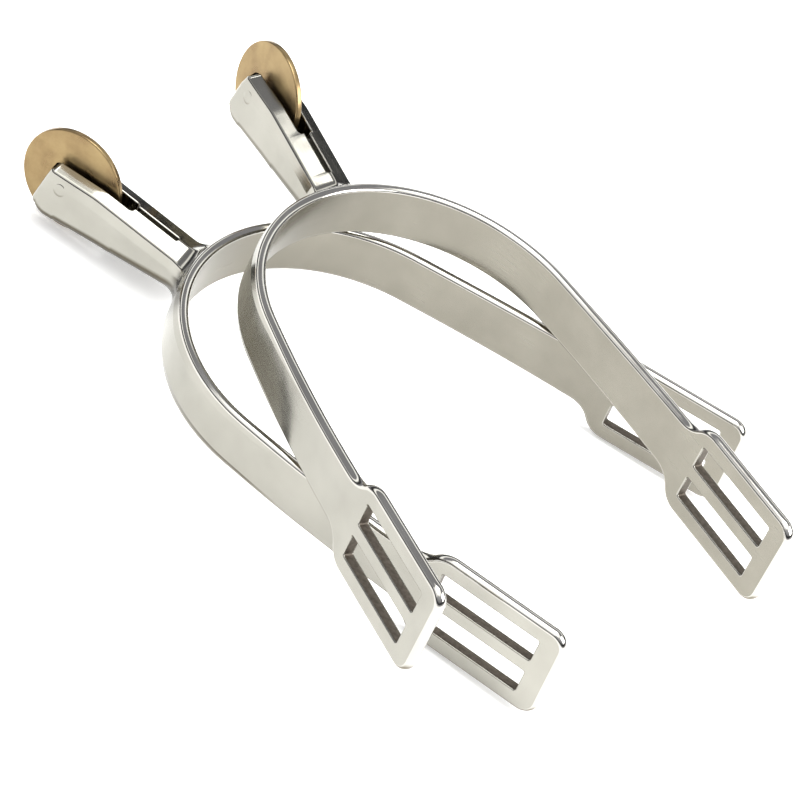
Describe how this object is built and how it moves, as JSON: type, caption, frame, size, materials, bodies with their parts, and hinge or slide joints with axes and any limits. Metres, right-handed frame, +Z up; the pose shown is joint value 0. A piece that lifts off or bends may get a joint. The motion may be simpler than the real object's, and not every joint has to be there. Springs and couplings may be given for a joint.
{
  "type": "pair of riding spurs",
  "caption": "Two polished steel English spurs with slotted strap plates, forked necks and smooth free-turning brass disc rowels, one lying across the other.",
  "frame": {"origin": "on the table, under the middle of the bounding box of the pair", "axes": "+X along the lower spur, from its neck to its strap plates; +Y to its wearer's left; +Z up"},
  "size_m": [0.1668, 0.1098, 0.0363],
  "materials": {
    "spur_steel": "polished stainless steel",
    "pin_steel": "polished steel, dressed flush",
    "rowel_brass": "satin brass"
  },
  "bodies": {
    "lower_spur": {"lower_heel_band": "spur_steel", "lower_neck": "spur_steel", "lower_rowel_pin": "pin_steel"},
    "lower_rowel": {"lower_rowel": "rowel_brass"},
    "upper_spur": {"upper_heel_band": "spur_steel", "upper_neck": "spur_steel", "upper_rowel_pin": "pin_steel"},
    "upper_rowel": {"upper_rowel": "rowel_brass"}
  },
  "joints": [
    {"name": "upper_spur_lift", "type": "slide", "parent": "lower_spur", "child": "upper_spur", "axis": [0, 0, 1], "range_m": [0, 0.12]},
    {"name": "lower_rowel_spin", "type": "hinge", "parent": "lower_spur", "child": "lower_rowel", "pos_m": [-0.07239, 0.0093, 0.011], "axis": [0, 1, 0], "continuous": true},
    {"name": "upper_rowel_spin", "type": "hinge", "parent": "upper_spur", "child": "upper_rowel", "pos_m": [-0.05455, 0.0478, 0.02527], "axis": [0.4938, 0.8695, -0.0087], "continuous": true}
  ]
}
